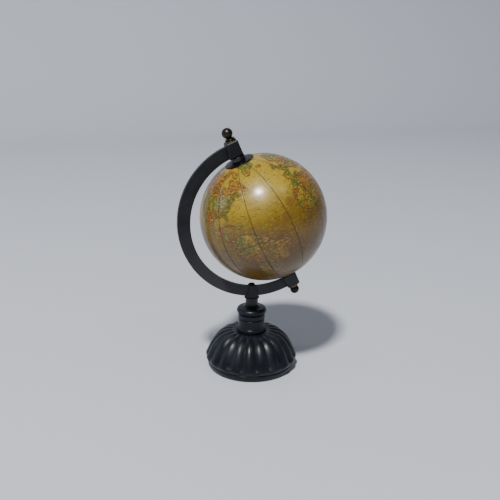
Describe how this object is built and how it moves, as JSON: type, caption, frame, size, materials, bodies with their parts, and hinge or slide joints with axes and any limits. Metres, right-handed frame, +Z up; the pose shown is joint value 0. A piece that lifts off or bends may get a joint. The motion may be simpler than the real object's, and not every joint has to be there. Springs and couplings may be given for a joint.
{
  "type": "desktop globe on stand",
  "caption": "Tabletop globe with an old-style map, leaning in a flat C-shaped arm that a slotted post and turned neck hold over a ribbed dome foot.",
  "frame": {"origin": "middle of the base, on the table top that the felt rests on", "axes": "+Z up; the arm lies in the XZ plane with its bow towards -X; +Y points away from someone who has the bow on the left; the ball's north pole leans towards -X"},
  "size_m": [0.1507, 0.127, 0.2505],
  "materials": {
    "black_lacquer": "glossy black lacquer over a casting, thin on the ribs",
    "dark_casting": "dark antique bronze-black, satin",
    "antique_brass": "darkened antique brass, rubbed brighter on the crowns",
    "dark_steel": "darkened turned steel with worn edges",
    "map_paper": "printed paper gores on pressed card under amber varnish",
    "grey_card": "plain grey card",
    "pale_plastic": "moulded, matt",
    "plain_steel": "plain drawn steel",
    "green_felt": "thin wool felt"
  },
  "bodies": {
    "stand": {"base_dome": "black_lacquer", "felt_pad": "green_felt", "neck_drum": "black_lacquer", "neck_ring": "black_lacquer", "tie_stud": "plain_steel", "tie_washer": "plain_steel", "tie_nut": "plain_steel", "fork_post": "dark_casting", "fork_pin": "dark_casting", "meridian_arm": "dark_casting"},
    "globe": {"globe_north_shell": "map_paper", "globe_south_shell": "map_paper", "joining_ring": "grey_card", "north_bush": "pale_plastic", "south_bush": "pale_plastic", "north_polar_cap": "dark_steel", "south_polar_cap": "dark_steel"},
    "axle": {"axle_rod": "plain_steel", "top_finial": "antique_brass", "top_washer": "antique_brass", "upper_spacer": "dark_steel", "ball_nut": "antique_brass", "bottom_washer": "antique_brass", "lower_spacer": "dark_steel"}
  },
  "joints": [
    {"name": "globe_spin", "type": "hinge", "parent": "stand", "child": "globe", "pos_m": [0.0107, 0, 0.1605], "axis": [-0.4067, 0, 0.9135], "continuous": true},
    {"name": "axle_turn", "type": "hinge", "parent": "stand", "child": "axle", "pos_m": [0.0107, 0, 0.1605], "axis": [-0.4067, 0, 0.9135], "continuous": true}
  ]
}
